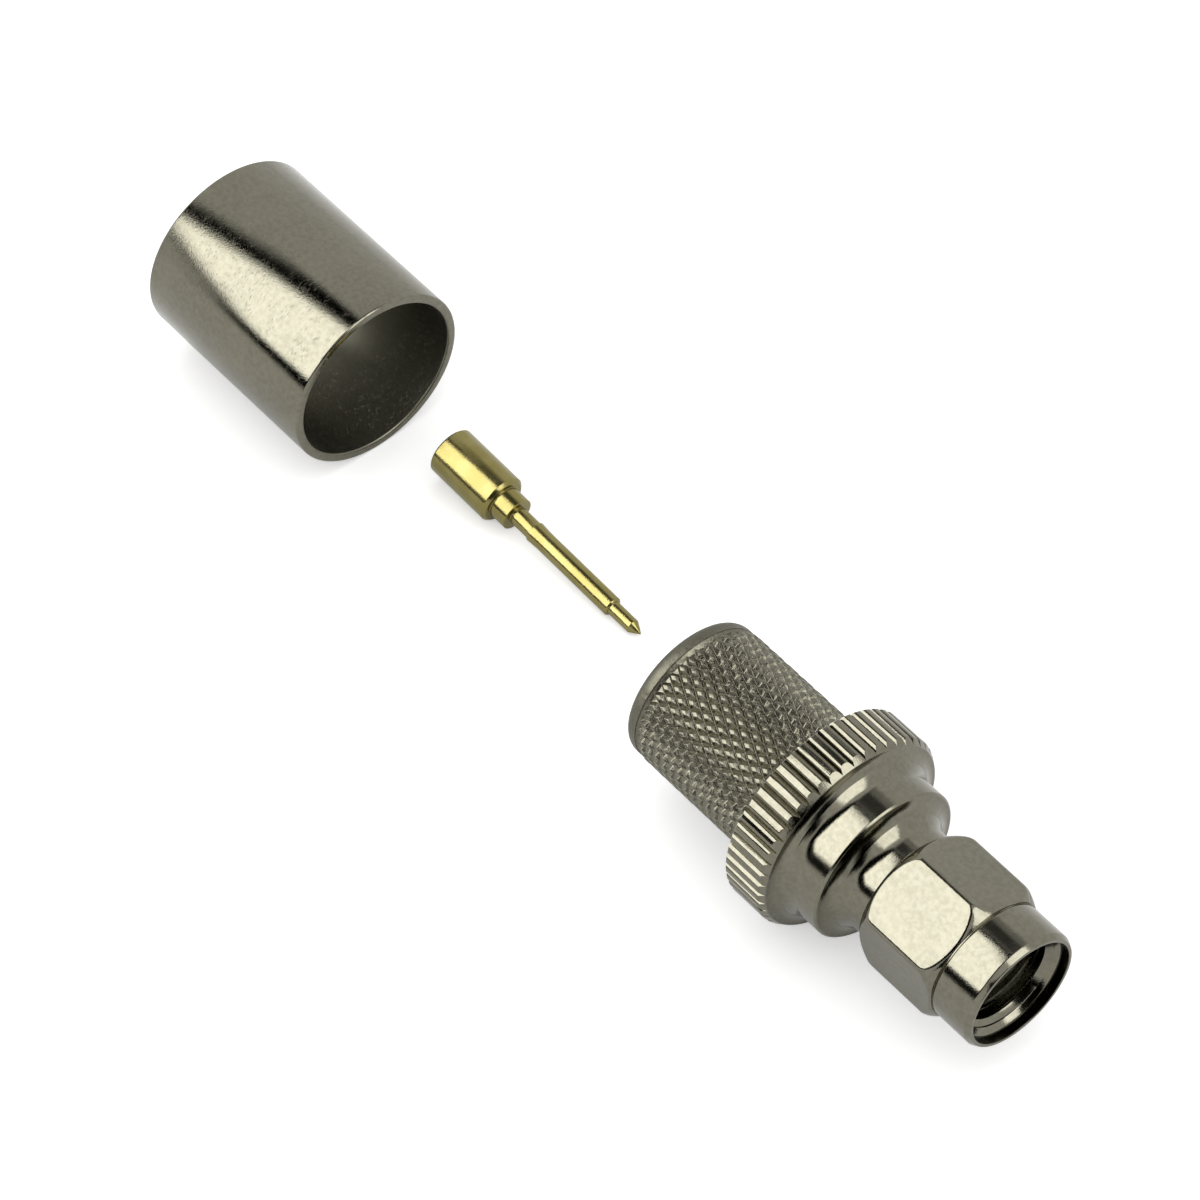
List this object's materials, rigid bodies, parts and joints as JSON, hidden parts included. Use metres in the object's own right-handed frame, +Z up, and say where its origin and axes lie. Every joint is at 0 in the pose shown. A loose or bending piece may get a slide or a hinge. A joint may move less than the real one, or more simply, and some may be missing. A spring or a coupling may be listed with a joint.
{
  "type": "sma connector",
  "caption": "SMA plug kit for thick coaxial cable: crimp ferrule, loose gold contact, and a knurled connector with a free-turning hex coupling nut.",
  "frame": {"origin": "on the surface that the set lies on, under the middle of the set's bounding box", "axes": "+X along the connector's axis towards the coupling nut's mouth, +Z up from the surface, +Y to the side where the contact lies"},
  "size_m": [0.072, 0.014, 0.0133],
  "materials": {
    "nickel": "satin nickel plate on turned brass",
    "gold": "bright gold plate",
    "ptfe": "waxy white PTFE",
    "silicone": "matt silicone rubber",
    "bronze": "bare spring bronze"
  },
  "bodies": {
    "set": {"crimp_ferrule": "nickel", "centre_contact": "gold", "connector_body": "nickel", "insulator": "ptfe", "gasket": "silicone", "retaining_ring": "bronze"},
    "nut": {"coupling_nut": "nickel"}
  },
  "joints": [
    {"name": "nut_spin", "type": "hinge", "parent": "set", "child": "nut", "pos_m": [0.03107, -0.00032, 0.00665], "axis": [1, 0, 0], "continuous": true}
  ]
}
